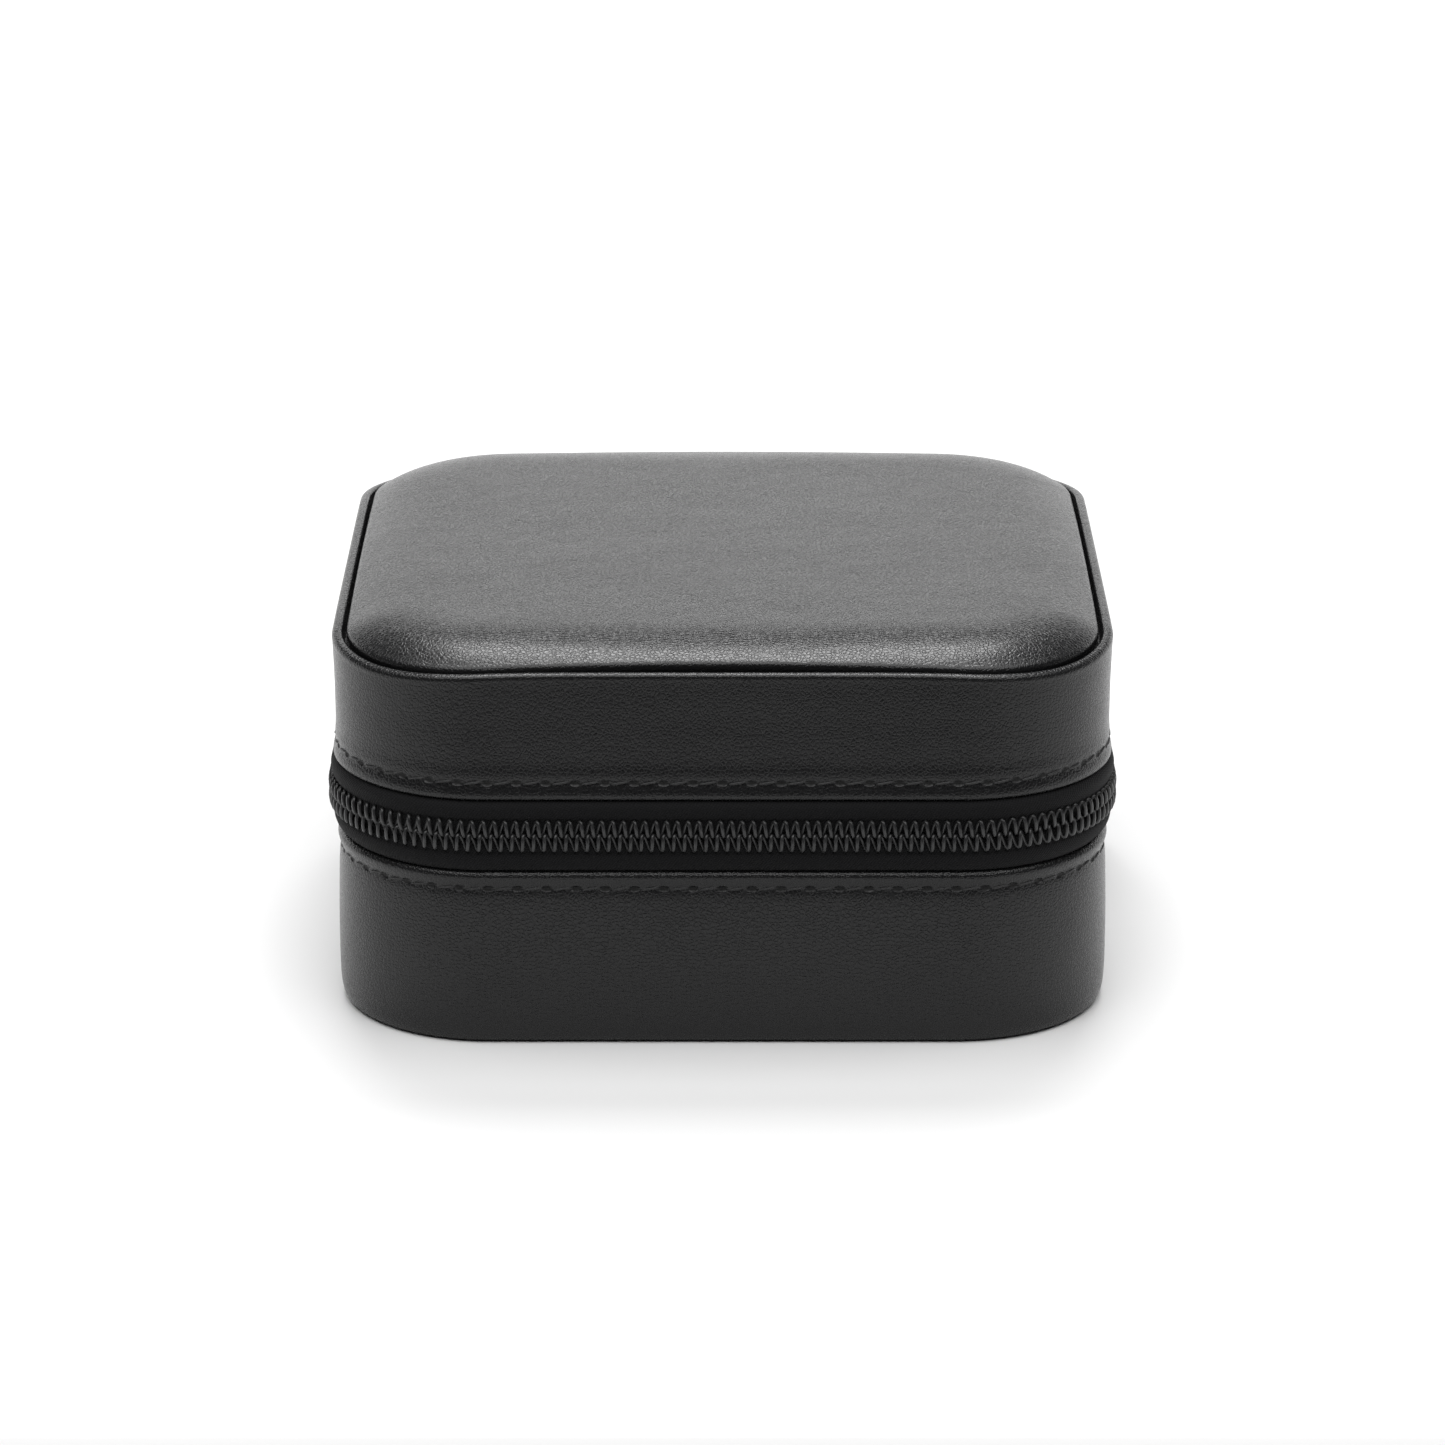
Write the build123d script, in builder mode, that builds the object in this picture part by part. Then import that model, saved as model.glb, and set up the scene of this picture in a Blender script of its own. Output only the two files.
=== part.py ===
"""Square zip-around leather jewellery case: padded lid, stitched walls, coil zip and fitted velvet interior.

Millimetres. +Z is up, +X to the right and -Y to the front. The origin is the middle of the case's underside,
on the surface it stands on. The lid is closed and the slider is parked at the back of the right-hand side.
"""
from build123d import *
import os

os.makedirs("parts", exist_ok=True)

# Overall form
case_width = 100.0
case_depth = 100.0
corner_radius = 20.0
base_wall_height = 23.5
zip_opening = 9.8
lid_wall_height = 15.2
rim_height = 1.4
pad_crown = 2.6

# Layers of the walls, from the outside in
leather = 1.0
board = 1.8
lining = 0.8
hem_round = 0.35
foot_round = 0.8
board_recess = 0.4

# Zip fastener
tape_thickness = 0.6
tape_play = 0.1
tape_tuck = 4.0
chain_height = 4.4
chain_split = 0.9
coil_thickness = 1.9
stitch_margin = 2.3
thread_width = 0.5
thread_proud = 0.2

# Lid top
rim_width = 1.3
rim_proud = 0.3
rim_round = 0.52
groove_width = 0.6
pad_foam = 3.6
pad_edge_radius = 2.0

# Hinge at the back
spine_width = 56.0
spine_inner_thickness = 0.6
hinge_clearance = 0.1
tape_end_gap = 0.3

# Slider and pull
slider_length = 8.6
slider_flange = 0.85
slider_plate = 0.7
slider_play = 0.15
slider_post = 0.5
slider_post_length = 1.55
slider_flange_depth = 1.14
slider_park_gap = 0.7
slider_corner = 1.2
bridge_setback = 1.3
bridge_bar = 1.2
bridge_crown = 0.6
bridge_clearance = 0.5
pull_link_thickness = 0.7
pull_link_length = 11.0
pull_link_width = 3.2
pull_head_radius = 2.4
pull_eye_radius = 1.3
pull_play = 0.2
pull_tab_length = 14.0
pull_tab_width = 6.4
pull_tab_thickness = 1.0
pull_tab_corner = 1.4
pull_tab_overlap = 3.0

# Interior
divider_thickness = 1.6
divider_drop = 1.8
long_divider_y = 4.0
cross_divider_x = 8.0
interior_clearance = 0.4
roll_count = 4
roll_gap = 0.6
roll_drop = 4.6
roll_roundness = 0.42
mirror_corner = 8.0
mirror_thickness = 1.5
frame_clearance = 3.7
frame_border = 8.0
frame_lip = 0.6
frame_lip_width = 1.2

# Levels and offsets that follow from them
underlay = tape_thickness + tape_play
spine_thickness = underlay - 2 * hinge_clearance
lid_edge_z = base_wall_height + zip_opening
rim_base_z = lid_edge_z + lid_wall_height
lid_board_top_z = rim_base_z - board_recess
lid_board_z = lid_board_top_z - board
lid_ceiling_z = lid_board_z - lining
pad_top_z = rim_base_z + rim_height + pad_crown
floor_board_z = leather
floor_lining_z = floor_board_z + board
floor_z = floor_lining_z + lining
zip_z = base_wall_height + zip_opening / 2

underlay_offset = leather
board_offset = underlay_offset + underlay
lining_offset = board_offset + board
cavity_offset = lining_offset + lining
pad_offset = rim_width - rim_proud + groove_width


def outline(inset, mode=Mode.ADD):
    """The case's rounded-square plan, moved in from the outer leather by inset."""
    RectangleRounded(case_width - 2 * inset, case_depth - 2 * inset, corner_radius - inset, mode=mode)


def finish(part, name):
    """Label a finished piece and write its file."""
    part.label = name
    export_step(part, f"parts/{name}.step")


def wall(name, *bands, round_top=0.0, round_foot=0.0, open_back=0.0):
    """A wall that follows the plan. Each band is (outer inset, inner inset, low z, high z)."""
    with BuildPart() as piece:
        for outer_inset, inner_inset, low, high in bands:
            with BuildSketch(Plane.XY.offset(low)):
                outline(outer_inset)
                outline(inner_inset, mode=Mode.SUBTRACT)
                if open_back:
                    with Locations((0, case_depth / 2)):
                        Rectangle(open_back, case_depth / 2, mode=Mode.SUBTRACT)
            extrude(amount=high - low)
        if round_top:
            fillet(piece.edges().group_by(Axis.Z)[-1], radius=round_top)
        if round_foot:
            fillet(piece.edges().group_by(Axis.Z)[0], radius=round_foot)
    finish(piece.part, name)


def sheet(name, inset, low, high, round_foot=0.0):
    """A flat sheet that fills the plan inside an inset."""
    with BuildPart() as piece:
        with BuildSketch(Plane.XY.offset(low)):
            outline(inset)
        extrude(amount=high - low)
        if round_foot:
            fillet(piece.edges().group_by(Axis.Z)[0], radius=round_foot)
    finish(piece.part, name)


# Base: bottom leather, boards, padding under the wall leather, and the wall leather with its thread
base_thread_z = base_wall_height - stitch_margin
sheet("base_bottom_leather", 0, 0, leather, round_foot=foot_round)
sheet("base_floor_board", board_offset, floor_board_z, floor_lining_z)
wall("base_wall_board", (board_offset, lining_offset, floor_lining_z, base_wall_height - lining))
wall("base_underlay", (underlay_offset, board_offset, floor_board_z, base_wall_height - tape_tuck))
wall("base_wall_leather", (0, leather, leather, base_wall_height), round_top=hem_round)
wall("base_thread", (-thread_proud, 0, base_thread_z - thread_width / 2, base_thread_z + thread_width / 2))

# Base lining: floor sheet, and a wall sheet turned over the top of the board
sheet("base_floor_lining", lining_offset, floor_lining_z, floor_z)
wall(
    "base_wall_lining",
    (lining_offset, cavity_offset, floor_z, base_wall_height),
    (board_offset, lining_offset, base_wall_height - lining, base_wall_height),
)

# Lid: wall leather with its thread, padding, boards and lining, built like the base turned over
lid_thread_z = lid_edge_z + stitch_margin
wall("lid_wall_leather", (0, leather, lid_edge_z, rim_base_z), round_foot=hem_round)
wall("lid_thread", (-thread_proud, 0, lid_thread_z - thread_width / 2, lid_thread_z + thread_width / 2))
wall("lid_underlay", (underlay_offset, board_offset, lid_edge_z + tape_tuck, lid_board_top_z))
wall("lid_wall_board", (board_offset, lining_offset, lid_edge_z + lining, lid_board_z))
sheet("lid_top_board", board_offset, lid_board_z, lid_board_top_z)
wall(
    "lid_wall_lining",
    (lining_offset, cavity_offset, lid_edge_z, lid_ceiling_z),
    (board_offset, lining_offset, lid_edge_z, lid_edge_z + lining),
)
sheet("lid_ceiling_lining", lining_offset, lid_ceiling_z, lid_board_z)

# Lid top: the folded leather rim, and inside its groove the foam pad under a drawn leather cover
wall(
    "lid_rim",
    (-rim_proud, rim_width - rim_proud, rim_base_z, rim_base_z + rim_height),
    round_top=rim_round,
)
sheet("lid_pad_foam", pad_offset + leather, lid_board_top_z, lid_board_top_z + pad_foam)

with BuildPart() as lid_pad_leather:
    with BuildSketch(Plane.XY.offset(lid_board_top_z)):
        outline(pad_offset)
    extrude(amount=pad_top_z - lid_board_top_z)
    fillet(lid_pad_leather.edges().group_by(Axis.Z)[-1], radius=pad_edge_radius)
    with BuildSketch(Plane.XY.offset(lid_board_top_z)):
        outline(pad_offset + leather)
    extrude(amount=pad_foam, mode=Mode.SUBTRACT)
finish(lid_pad_leather.part, "lid_pad_leather")

# Zip: two tapes tucked under the hems, each with its half of the coil, open at the hinge
tape_inner = leather + tape_thickness
coil_outer = leather - coil_thickness
zip_break = spine_width + 2 * tape_end_gap
lower_edge = zip_z - chain_split / 2
upper_edge = zip_z + chain_split / 2
wall("lower_zip_tape", (leather, tape_inner, base_wall_height - tape_tuck, lower_edge), open_back=zip_break)
wall("upper_zip_tape", (leather, tape_inner, upper_edge, lid_edge_z + tape_tuck), open_back=zip_break)
wall("lower_zip_coil", (coil_outer, leather, zip_z - chain_height / 2, lower_edge), open_back=zip_break)
wall("upper_zip_coil", (coil_outer, leather, upper_edge, zip_z + chain_height / 2), open_back=zip_break)

# Hinge: an outer leather strip under both hems, and an inner strip that closes the gap between the boards
back_y = case_depth / 2
with BuildPart() as hinge_spine:
    with BuildSketch(Plane.XY.offset(base_wall_height - tape_tuck)):
        with Locations((0, back_y - leather - hinge_clearance - spine_thickness / 2)):
            Rectangle(spine_width, spine_thickness)
    extrude(amount=zip_opening + 2 * tape_tuck - hinge_clearance)
finish(hinge_spine.part, "hinge_spine")

with BuildPart() as hinge_lining:
    with BuildSketch(Plane.XY.offset(base_wall_height)):
        with Locations((0, back_y - board_offset - spine_inner_thickness)):
            Rectangle(spine_width, spine_inner_thickness)
    extrude(amount=zip_opening - hinge_clearance)
finish(hinge_lining.part, "hinge_lining")

# Slider on the right-hand side: two plates joined by a post between the tapes, side flanges and a bridge
slider_x = case_width / 2 - coil_outer + slider_play
slider_back_x = case_width / 2 - tape_inner - slider_play
slider_top_x = slider_x + slider_plate
slider_height = chain_height + 2 * (slider_play + slider_flange)
slider_parked_y = case_depth / 2 - corner_radius - slider_length / 2 - slider_park_gap
bridge_span = slider_length - 2 * bridge_setback
bridge_gap = pull_link_thickness + bridge_clearance
bridge_x = slider_top_x + bridge_gap
bridge_foot_y = slider_parked_y + bridge_span / 2

with BuildPart() as slider_body:
    with BuildSketch(Plane.YZ.offset(slider_x)):
        with Locations((slider_parked_y, zip_z)):
            RectangleRounded(slider_length, slider_height, slider_corner)
    extrude(amount=slider_plate)
    with BuildSketch(Plane.YZ.offset(slider_back_x - slider_plate)):
        with Locations((slider_parked_y, zip_z)):
            RectangleRounded(slider_length, slider_height, slider_corner)
    extrude(amount=slider_plate)
    with BuildSketch(Plane.YZ.offset(slider_back_x)):
        with Locations((slider_parked_y - slider_length / 2 + slider_post_length, zip_z)):
            Rectangle(slider_post_length, slider_post)
    extrude(amount=slider_x - slider_back_x)
    with BuildSketch(Plane.YZ.offset(slider_x - slider_flange_depth)):
        for side in (-1, 1):
            with Locations((slider_parked_y, zip_z + side * (slider_height - slider_flange) / 2)):
                Rectangle(slider_length - 2 * slider_corner, slider_flange)
    extrude(amount=slider_flange_depth)
    with BuildSketch(Plane.YZ.offset(slider_top_x)):
        for side in (-1, 1):
            with Locations((slider_parked_y + side * bridge_span / 2, zip_z)):
                Rectangle(bridge_bar, bridge_bar)
    extrude(amount=bridge_gap)
    with BuildSketch(Plane.YZ.offset(bridge_x)):
        with Locations((slider_parked_y, zip_z)):
            Rectangle(bridge_span + bridge_bar, bridge_bar)
    extrude(amount=bridge_crown)
finish(slider_body.part, "slider_body")

# Pull: a flat link hung on the bridge's rear foot, and a doubled leather tab sewn round its lower end
link_x = slider_top_x + pull_play
link_bottom_z = zip_z - pull_link_length
tab_top_z = link_bottom_z + pull_tab_overlap
tab_bottom_z = tab_top_z - pull_tab_length
tab_mid_z = (tab_top_z + tab_bottom_z) / 2

with BuildPart() as pull_link:
    with BuildSketch(Plane.YZ.offset(link_x)):
        with Locations((bridge_foot_y, zip_z)):
            Circle(pull_head_radius)
        with Locations((bridge_foot_y, zip_z - pull_link_length / 2)):
            Rectangle(pull_link_width, pull_link_length)
        with Locations((bridge_foot_y, zip_z)):
            Circle(pull_eye_radius, mode=Mode.SUBTRACT)
    extrude(amount=pull_link_thickness)
finish(pull_link.part, "pull_link")

with BuildPart() as pull_tab:
    with BuildSketch(Plane.YZ.offset(link_x + pull_link_thickness / 2 - pull_tab_thickness / 2)):
        with Locations((bridge_foot_y, tab_mid_z)):
            RectangleRounded(pull_tab_width, pull_tab_length, pull_tab_corner)
    extrude(amount=pull_tab_thickness)
    with BuildSketch(Plane.YZ.offset(link_x)):
        with Locations((bridge_foot_y, link_bottom_z + pull_tab_overlap / 2)):
            Rectangle(pull_link_width, pull_tab_overlap)
    extrude(amount=pull_link_thickness, mode=Mode.SUBTRACT)
finish(pull_tab.part, "pull_tab")

# Interior of the base: a long divider, a cross divider behind it, and ring rolls in front of it
cavity_half_width = case_width / 2 - cavity_offset
cavity_half_depth = case_depth / 2 - cavity_offset
rear_section = cavity_half_depth - long_divider_y - divider_thickness
front_section = cavity_half_depth + long_divider_y
divider_height = base_wall_height - floor_z - divider_drop
roll_height = divider_height - roll_drop
roll_pitch = (front_section - 2 * interior_clearance) / roll_count
roll_width = roll_pitch - roll_gap

with BuildPart() as long_divider:
    with BuildSketch(Plane.XY.offset(floor_z)):
        with Locations((0, long_divider_y + divider_thickness / 2)):
            Rectangle(2 * (cavity_half_width - interior_clearance), divider_thickness)
    extrude(amount=divider_height)
finish(long_divider.part, "long_divider")

with BuildPart() as cross_divider:
    with BuildSketch(Plane.XY.offset(floor_z)):
        with Locations((cross_divider_x, long_divider_y + divider_thickness + rear_section / 2)):
            Rectangle(divider_thickness, rear_section - 2 * interior_clearance)
    extrude(amount=divider_height)
finish(cross_divider.part, "cross_divider")

for number in range(roll_count):
    roll_y = -cavity_half_depth + interior_clearance + (number + 0.5) * roll_pitch
    with BuildPart() as ring_roll:
        with BuildSketch(Plane.YZ):
            with Locations((roll_y, floor_z + roll_height / 2)):
                RectangleRounded(roll_width, roll_height, roll_roundness * roll_width)
        extrude(amount=cavity_half_width, both=True)
        with BuildSketch(Plane.XY.offset(floor_z)):
            outline(cavity_offset + interior_clearance)
        extrude(amount=roll_height, mode=Mode.INTERSECT)
    finish(ring_roll.part, f"ring_roll_{number + 1}")

# Inside of the lid: a mirror held to the ceiling by a covered frame with a lip over the glass
mirror_z = lid_ceiling_z - mirror_thickness
frame_z = mirror_z - frame_lip
mirror_inset = cavity_offset + frame_clearance + frame_border
mirror_width = case_width - 2 * mirror_inset
mirror_depth = case_depth - 2 * mirror_inset


def mirror_shape(grow=0.0, mode=Mode.ADD):
    """The glass's outline, grown all round."""
    RectangleRounded(mirror_width + 2 * grow, mirror_depth + 2 * grow, mirror_corner + grow, mode=mode)


with BuildPart() as mirror_glass:
    with BuildSketch(Plane.XY.offset(mirror_z)):
        mirror_shape()
    extrude(amount=mirror_thickness)
finish(mirror_glass.part, "mirror_glass")

with BuildPart() as mirror_frame:
    with BuildSketch(Plane.XY.offset(frame_z)):
        outline(cavity_offset + frame_clearance)
        mirror_shape(grow=-frame_lip_width, mode=Mode.SUBTRACT)
    extrude(amount=lid_ceiling_z - frame_z)
    with BuildSketch(Plane.XY.offset(mirror_z)):
        mirror_shape()
    extrude(amount=mirror_thickness, mode=Mode.SUBTRACT)
finish(mirror_frame.part, "mirror_frame")
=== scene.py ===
"""Square zip-around leather jewellery case on a pale studio floor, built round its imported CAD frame."""
import math
import bpy
import numpy as np
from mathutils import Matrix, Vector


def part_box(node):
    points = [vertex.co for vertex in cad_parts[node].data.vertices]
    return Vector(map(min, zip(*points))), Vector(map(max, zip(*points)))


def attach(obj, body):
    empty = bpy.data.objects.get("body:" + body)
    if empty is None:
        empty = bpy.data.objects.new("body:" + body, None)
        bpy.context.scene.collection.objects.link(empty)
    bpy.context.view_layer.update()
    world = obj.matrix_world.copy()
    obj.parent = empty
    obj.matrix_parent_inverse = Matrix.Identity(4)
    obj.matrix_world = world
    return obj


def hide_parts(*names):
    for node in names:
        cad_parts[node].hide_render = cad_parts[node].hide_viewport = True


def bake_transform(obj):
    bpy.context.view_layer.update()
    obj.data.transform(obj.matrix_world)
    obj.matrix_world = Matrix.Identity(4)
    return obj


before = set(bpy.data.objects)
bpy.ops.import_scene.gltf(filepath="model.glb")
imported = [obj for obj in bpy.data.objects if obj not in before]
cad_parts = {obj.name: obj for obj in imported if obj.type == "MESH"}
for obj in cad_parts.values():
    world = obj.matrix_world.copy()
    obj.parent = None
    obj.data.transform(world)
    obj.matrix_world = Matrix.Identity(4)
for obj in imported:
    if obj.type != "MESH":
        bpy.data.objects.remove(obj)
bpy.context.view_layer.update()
MM = 0.001

# ---------------------------------------------------------------------------------------------------------
# Studio. A pale floor runs to a low lit back wall, whose reflection greys the top; one soft box hangs over
# the case and a smaller, brighter one behind it lights the pad's front roll. The camera looks from the front
# and a little above. A black cloth on the floor, which only reflections see, keeps the walls dark.
# ---------------------------------------------------------------------------------------------------------
CAMERA_DISTANCE = 0.759
CAMERA_TILT = math.radians(18.75)
CAMERA_LENS = 139.3
SENSOR_WIDTH = 36.0
AIM_LIFT = math.radians(0.131)
ROOM_LIGHT = 0.07

scene = bpy.context.scene
scene.view_settings.view_transform = "Standard"
view_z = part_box("lid_rim")[1].z / 2
camera_data = bpy.data.cameras.new("camera")
camera_data.lens = CAMERA_LENS
camera_data.sensor_width = SENSOR_WIDTH
camera = bpy.data.objects.new("camera", camera_data)
scene.collection.objects.link(camera)
camera.location = (
    0,
    -CAMERA_DISTANCE * math.cos(CAMERA_TILT),
    view_z + CAMERA_DISTANCE * math.sin(CAMERA_TILT),
)
camera.rotation_euler = (math.pi / 2 - CAMERA_TILT + AIM_LIFT, 0, 0)
scene.camera = camera

world = bpy.data.worlds.new("room")
world.use_nodes = True
world.node_tree.nodes["Background"].inputs["Color"].default_value = (1.0, 1.0, 1.0, 1)
world.node_tree.nodes["Background"].inputs["Strength"].default_value = ROOM_LIGHT
scene.world = world


FLOOR_HALF = 15.0
FLAG_START = -0.165
FLAG_END = -4.0


def soft_box(name, place, turn, width, depth, radiance):
    """A rectangular area light that shines along its own -Z; its power is pi times radiance times area."""
    data = bpy.data.lights.new(name, "AREA")
    data.shape = "RECTANGLE"
    data.size = width
    data.size_y = depth
    data.energy = math.pi * radiance * width * depth
    lamp = bpy.data.objects.new(name, data)
    lamp.location = place
    lamp.rotation_euler = turn
    scene.collection.objects.link(lamp)


soft_box("overhead_box", (0, -0.9, 2.5), (0, 0, 0), 4.0, 3.0, 3.3)
soft_box("high_back_box", (0, 1.5, 2.5), (-0.3, 0, 0), 1.3, 1.1, 13.0)
soft_box("back_wall", (0, 3.2, 0.63), (-math.pi / 2, 0, 0), 9.0, 1.26, 1.55)


def floor_sheet(name, front, back, z):
    """A flat rectangle across the whole floor, from y = front to y = back at height z."""
    mesh = bpy.data.meshes.new(name)
    left, right = -FLOOR_HALF, FLOOR_HALF
    corners = [(left, front, z), (right, front, z), (right, back, z), (left, back, z)]
    mesh.from_pydata(corners, [], [(0, 1, 2, 3)])
    sheet = bpy.data.objects.new(name, mesh)
    scene.collection.objects.link(sheet)
    return sheet


class Wire:
    """One socket of a node tree, with arithmetic: an expression on wires adds its Math nodes."""

    def __init__(self, finish, socket):
        self.finish = finish
        self.socket = socket

    def math(self, operation, *others, swap=False):
        """This wire and the others through one Math node; swap puts the first other before it."""
        values = (others[0], self, *others[1:]) if swap else (self, *others)
        return self.finish.node("ShaderNodeMath", {"operation": operation}, dict(enumerate(values)))

    def __add__(self, other):
        return self.math("ADD", other)

    __radd__ = __add__

    def __mul__(self, other):
        return self.math("MULTIPLY", other)

    __rmul__ = __mul__

    def __sub__(self, other):
        return self.math("SUBTRACT", other)

    def __rsub__(self, other):
        return self.math("SUBTRACT", other, swap=True)

    def __truediv__(self, other):
        return self.math("DIVIDE", other)


class Finish:
    """A material: its node tree, one method that adds any node, and its Principled shader's sockets."""

    def __init__(self, name, **fixed):
        self.material = bpy.data.materials.new(name)
        self.material.use_nodes = True
        self.tree = self.material.node_tree
        self.shader = self.tree.nodes["Principled BSDF"]
        self.set(**fixed)

    def set(self, **values):
        """Give the shader's sockets numbers, colours or wires; base_color stands for Base Color."""
        for key, value in values.items():
            self.feed(self.shader.inputs[key.replace("_", " ").title().replace("Ior", "IOR")], value)

    def feed(self, socket, value):
        """Link a wire to a socket, or set the socket to a colour or a number."""
        if isinstance(value, Wire):
            self.tree.links.new(value.socket, socket)
        elif isinstance(value, (tuple, list)) and len(value) == 3 and socket.type == "RGBA":
            socket.default_value = (*value, 1)
        else:
            socket.default_value = value

    def node(self, kind, settings=None, sockets=None, out=0):
        """Add a node: its settings first, then its sockets, each by number or name; returns one output."""
        node = self.tree.nodes.new(kind)
        for key, value in (settings or {}).items():
            setattr(node, key, value)
        for key, value in (sockets or {}).items():
            self.feed(node.inputs[key], value)
        return Wire(self, node.outputs[out])

    def coordinates(self):
        """Places on the piece in metres, in its own space."""
        return self.node("ShaderNodeTexCoord", out="Object")

    def along_and_up(self):
        """The two UV wires of a carried piece: distance along the plan, and height."""
        uv = self.node("ShaderNodeUVMap", {"uv_map": "along_and_up"})
        along = self.node("ShaderNodeSeparateXYZ", None, {0: uv})
        return along, Wire(self, along.socket.node.outputs[1])

    def spread(self, amount, low, high):
        """A 0 to 1 wire mixed between two colours."""
        return self.node("ShaderNodeMix", {"data_type": "RGBA"}, {0: amount, 6: low, 7: high}, out=2)

    def step(self, value, low, high):
        """0 at low to 1 at high, eased at both ends; high may be the smaller."""
        eased = {"interpolation_type": "SMOOTHSTEP"}
        return self.node("ShaderNodeMapRange", eased, {0: value, 1: low, 2: high})

    def noise(self, place, scale, detail=2.0, **sockets):
        """Cloudy 0 to 1 noise; scale is its number of cells in a metre."""
        sockets.update({"Vector": place, "Scale": scale, "Detail": detail})
        return self.node("ShaderNodeTexNoise", None, sockets)

    def bump(self, height, distance, strength=1.0, under=None):
        """A bump in metres of relief, laid over another normal if one is given."""
        sockets = {"Height": height, "Distance": distance, "Strength": strength}
        if under is not None:
            sockets["Normal"] = under
        return self.node("ShaderNodeBump", None, sockets)


floor = floor_sheet("floor", -FLOOR_HALF, FLOOR_HALF, 0)
pale_floor = Finish("studio_floor", base_color=(0.72, 0.72, 0.72), roughness=0.6, specular_ior_level=0.2)
floor.data.materials.append(pale_floor.material)

flag = floor_sheet("black_flag", FLAG_END, FLAG_START, MM)
flag.visible_camera = False
flag.visible_shadow = False
flag.data.materials.append(Finish("black_cloth", base_color=(0.01, 0.01, 0.01), roughness=0.9).material)

# ---------------------------------------------------------------------------------------------------------
# Black leather. Pebble-grained, semi-matt finish; the same hide covers the walls, the bottom, the padded
# top, the hinge and the pull. Every leather piece is a surface carried round the case's rounded-square plan.
# ---------------------------------------------------------------------------------------------------------
CORNER_RADIUS = 20.0 * MM
half_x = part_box("base_wall_leather")[1].x
half_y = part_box("base_wall_leather")[1].y
straight_x = half_x - CORNER_RADIUS
straight_y = half_y - CORNER_RADIUS
quarter = math.pi * CORNER_RADIUS / 2
side_leg = [quarter, 2 * straight_y, quarter]
LEGS = [straight_x, *side_leg, 2 * straight_x, *side_leg, straight_x]
PLAN_STATIONS = np.concatenate([[0], np.cumsum(LEGS)])
PLAN_LENGTH = PLAN_STATIONS[-1]
PLAN_TURN = np.radians([0, 0, 90, 90, 180, 180, 270, 270, 360, 360])
PLAN_CORE_X = straight_x * np.array([0, 1, 1, 1, 1, -1, -1, -1, -1, 0])
PLAN_CORE_Y = straight_y * np.array([1, 1, 1, -1, -1, -1, -1, 1, 1, 1])


def plan(s, offset):
    """Point of the case's plan at distance s along it, from the middle of the back and past the right-hand
    side, moved outwards by offset: a corner centre plus the corner radius and the offset along the normal."""
    s = np.mod(s, PLAN_LENGTH)
    turn = np.interp(s, PLAN_STATIONS, PLAN_TURN)
    reach = CORNER_RADIUS + offset
    x = np.interp(s, PLAN_STATIONS, PLAN_CORE_X) + reach * np.sin(turn)
    y = np.interp(s, PLAN_STATIONS, PLAN_CORE_Y) + reach * np.cos(turn)
    return x, y


def rounded(points, passes=3):
    """Cut the corners of a closed outline: each pass keeps every side's quarter and three-quarter points."""
    points = np.array(points, float)
    for _ in range(passes):
        ahead = np.roll(points, -1, axis=0)
        points = np.stack([0.75 * points + 0.25 * ahead, 0.25 * points + 0.75 * ahead], 1).reshape(-1, 2)
    return points


def grid_faces(rows, columns, close_rows, close_columns):
    """Quads of a grid of points, closed on itself either way."""
    j = np.arange(rows if close_rows else rows - 1)
    i = np.arange(columns if close_columns else columns - 1)
    j, i = (a.ravel() for a in np.meshgrid(j, i, indexing="ij"))
    below = (j + 1) % rows
    right = (i + 1) % columns
    return np.stack([j * columns + i, j * columns + right, below * columns + right, below * columns + i], 1)


def make_piece(name, points, faces, uv=None, caps=()):
    """A smooth mesh object at the origin from arrays of points, quads and end polygons, with a UV for each
    point if given. If the quads' signed volume says that the shell is inside out, every face turns round."""
    corner = points[faces]
    normal = np.cross(corner[:, 2] - corner[:, 0], corner[:, 3] - corner[:, 1])
    polygons = [*faces, *caps]
    if (corner.mean(1) * normal).sum() < 0:
        polygons = [polygon[::-1] for polygon in polygons]
    mesh = bpy.data.meshes.new(name)
    mesh.from_pydata(points.tolist(), [], [polygon.tolist() for polygon in polygons])
    if uv is not None:
        layer = mesh.uv_layers.new(name="along_and_up")
        layer.data.foreach_set("uv", uv[np.concatenate(polygons)].astype(np.float32).ravel())
    mesh.polygons.foreach_set("use_smooth", np.ones(len(polygons), bool))
    mesh.update()
    piece = bpy.data.objects.new(name, mesh)
    scene.collection.objects.link(piece)
    return piece


def fit_out(piece, material, body, slot, *nodes):
    """Give a piece its material and the body that it rides on, and hide the CAD nodes that it stands for;
    slot is not used.
    """
    piece.data.materials.append(material)
    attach(piece, body)
    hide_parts(*nodes)
    return piece


def cornerness(x, y):
    """(x y / half_x half_y)^6 over its value at the middle of a corner: 1 there, 0 along the sides."""
    middle = 1 - (1 - math.sqrt(0.5)) * CORNER_RADIUS / half_x
    return (x * y / (half_x * half_y * middle ** 2)) ** 6


def end_caps(rows, columns):
    """The two end polygons of a tube whose closed section runs down the rows."""
    j = np.arange(rows) * columns
    return [j, (j + columns - 1)[::-1]]


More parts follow.
